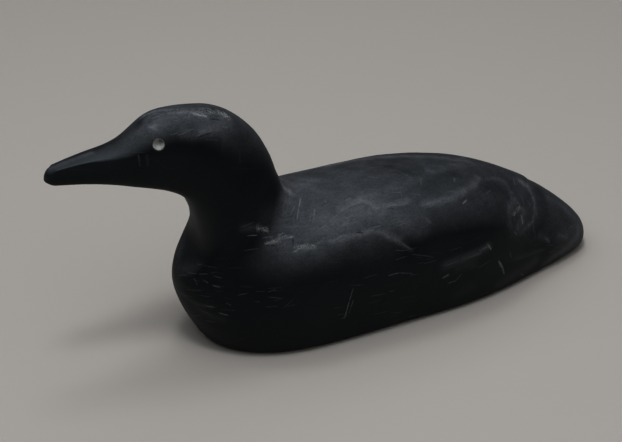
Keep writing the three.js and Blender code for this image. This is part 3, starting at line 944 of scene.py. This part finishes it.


# Dark clouded stone, paler where it is rubbed, dusty or scratched and where painted top light and
# painted rim reflections lie, less pale where painted shade lies, with pale flecks and cracks where
# it is chipped, and raw stone in the eye pits, which a spot of painted shade darkens.
def makeStone():
    make = Maker("blackSoapstone")
    place = make.add("ShaderNodeTexCoord", None, None, "Object")
    inMm = make.scale(place, 1 / mm)
    cloud, blotch, grain, fine, speck, raw = (make.noise(inMm, *kind) for kind in grains.values())
    brushed = make.noise(make.vector("MULTIPLY", inMm, brushing["stretch"]), *brushing["noise"])
    chipField, pit = make.attribute("chipped"), make.attribute("pit")

    # The pale attribute holds dust, wear, painted top light, painted rim reflections and, where it is
    # lowered, painted shade; blotches, brushing and grain make it uneven
    blotches, brushes, grainy = paleLook["parts"]
    unevenPale = blotch * blotches + brushed * brushes + grain * grainy
    unevenPale = make.ramp(unevenPale, *paleLook["stops"])
    unevenPale = unevenPale * paleLook["gain"] + paleLook["least"]
    unevenPale = unevenPale + (speck - 0.5) * paleLook["specks"] + (grain - 0.5) * paleLook["grains"]
    pale = make.math("MAXIMUM", make.attribute("pale") * unevenPale, 0.0)
    pale = pale + make.ramp(fine, *paleLook["dustStops"]) * stone["dust"]
    ragged = (fine - 0.5) * markLook["ragged"]
    specks, fines = markLook["gapParts"]
    broken = make.ramp(speck * specks + fine * fines, *markLook["gapStops"])
    broken = broken * (1 - markLook["faintest"]) + markLook["faintest"]
    marks = None
    for k in range(patches["layers"]):
        mark, level = markLayer(make, k, ragged, broken)
        pale = pale + mark * (level - pale)
        marks = mark if marks is None else make.math("MAXIMUM", marks, mark)

    bends = {"Vector": inMm, "Scale": cracks["bends"]}
    shift = make.scale(make.add("ShaderNodeTexNoise", None, bends, "Color"), cracks["bend"])
    lace = {0: make.vector("ADD", inMm, shift), "Scale": cracks["scale"]}
    lace = make.add("ShaderNodeTexVoronoi", {"feature": "DISTANCE_TO_EDGE"}, lace)
    lines = 1 - make.ramp(lace, *cracks["width"])
    lines = lines * make.ramp(chipField + blotch * cracks["onBlotch"], *chipLook["crackStops"])
    flecks = make.ramp(fine + chipField * chipLook["thickness"], *chipLook["stops"])

    clouded = make.ramp(cloud, *stone["cloudStops"])
    ground = make.mix(clouded, stone["dark"], stone["grey"])
    # the stone pales towards palest by dust, wear and marks, and by painted top light and painted rim
    # reflections
    skinColour = make.mix(pale / stone["palest"][0], ground, stone["palest"])
    chipped = make.math("MAXIMUM", lines * cracks["paleness"], flecks * chipLook["paleness"])
    skinColour = make.mix(chipped, skinColour, stone["chip"])
    rawColour = make.mix(make.ramp(raw, *stone["rawStops"]), stone["raw"], stone["rawSpots"])
    # raw stone in the eye pits, less of it where the painted shade lies
    skinColour = make.mix(pit, skinColour, rawColour)
    rough = cloud * stone["cloudRoughness"] + pale * stone["paleRoughness"] + stone["roughness"]
    rough = rough + (flecks + pit) * stone["chipRoughness"]
    rough = make.math("MINIMUM", rough, stone["roughest"])
    height = grain * bump["grain"] + brushed * bump["brushed"] + speck * bump["speck"]
    height = height - marks * bump["marks"] - lines * bump["cracks"]
    height = height - flecks * fine * bump["flecks"]
    raised = {"Strength": bump["strength"], "Distance": bump["height"] * mm, "Height": height}
    make.feed(make.shader.inputs["Base Color"], skinColour)
    make.feed(make.shader.inputs["Roughness"], rough)
    make.feed(make.shader.inputs["Normal"], make.add("ShaderNodeBump", None, raised))
    make.shader.inputs["IOR"].default_value = stone["refraction"]
    make.shader.inputs["Specular Tint"].default_value = stone["gloss"]
    return make.material


carving.data.materials.append(makeStone())
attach(carving, "root")
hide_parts("loon_carving")
print("stone done")


# Floor, light and camera
room = {
    "floor": colour(0.417, 0.383, 0.357),
    "floorSize": 12.0,  # in metres
    "floorRoughness": 0.8,
    "sky": colour(0.55, 0.58, 0.62),
    "skyStrength": 0.08,
    "contrast": 0.714,  # below 1 for the deep blacks of the photograph
}
lamps = {  # place, aim, width and depth in metres, watts, colour
    "ceiling": ((-0.16, -0.2, 1.0), (-0.16, -0.2, 0), 2.2, 2.4, 20.2, (0.94, 0.98, 1.0)),
    "nearLamp": ((-0.15, -0.17, 0.95), (0, 0, 0), 0.17, 0.17, 2.75, (0.94, 0.98, 1.0)),
    "farLamp": ((0.03, 0.23, 0.95), (0, 0, 0), 0.2, 0.2, 1.33, (0.94, 0.98, 1.0)),
}


def addFloor():
    half = room["floorSize"] / 2
    corners = [(-half, -half, 0), (half, -half, 0), (half, half, 0), (-half, half, 0)]
    mesh = bpy.data.meshes.new("floor")
    mesh.from_pydata(corners, [], [(0, 1, 2, 3)])
    floor = bpy.data.objects.new("floor", mesh)
    bpy.context.scene.collection.objects.link(floor)
    make = Maker("paleFloor")
    make.shader.inputs["Base Color"].default_value = room["floor"]
    make.shader.inputs["Roughness"].default_value = room["floorRoughness"]
    mesh.materials.append(make.material)


def addLamp(name, position, target, width, depth, watts, tint):
    light = bpy.data.lights.new(name, "AREA")
    light.shape, light.size, light.size_y = "RECTANGLE", width, depth
    light.energy, light.color = watts, tint
    lamp = bpy.data.objects.new(name, light)
    lamp.matrix_world = aimed(position, target)
    bpy.context.scene.collection.objects.link(lamp)


def addCamera():
    data = bpy.data.cameras.new("camera")
    data.sensor_width = view["sensor"]
    data.lens = view["sensor"] * view["focus"] / view["picture"][0]
    camera = bpy.data.objects.new("camera", data)
    place = cameraPlace()
    place.translation *= mm
    camera.matrix_world = place
    bpy.context.scene.collection.objects.link(camera)
    bpy.context.scene.camera = camera


def addSky():
    world = bpy.data.worlds.new("sky")
    world.use_nodes = True
    background = world.node_tree.nodes["Background"]
    background.inputs["Color"].default_value = room["sky"]
    background.inputs["Strength"].default_value = room["skyStrength"]
    bpy.context.scene.world = world


addFloor()
for name, lamp in lamps.items():
    addLamp(name, *lamp)
addSky()
addCamera()
bpy.context.scene.view_settings.view_transform = "Standard"
bpy.context.scene.view_settings.gamma = room["contrast"]
print("floor, light and camera done")
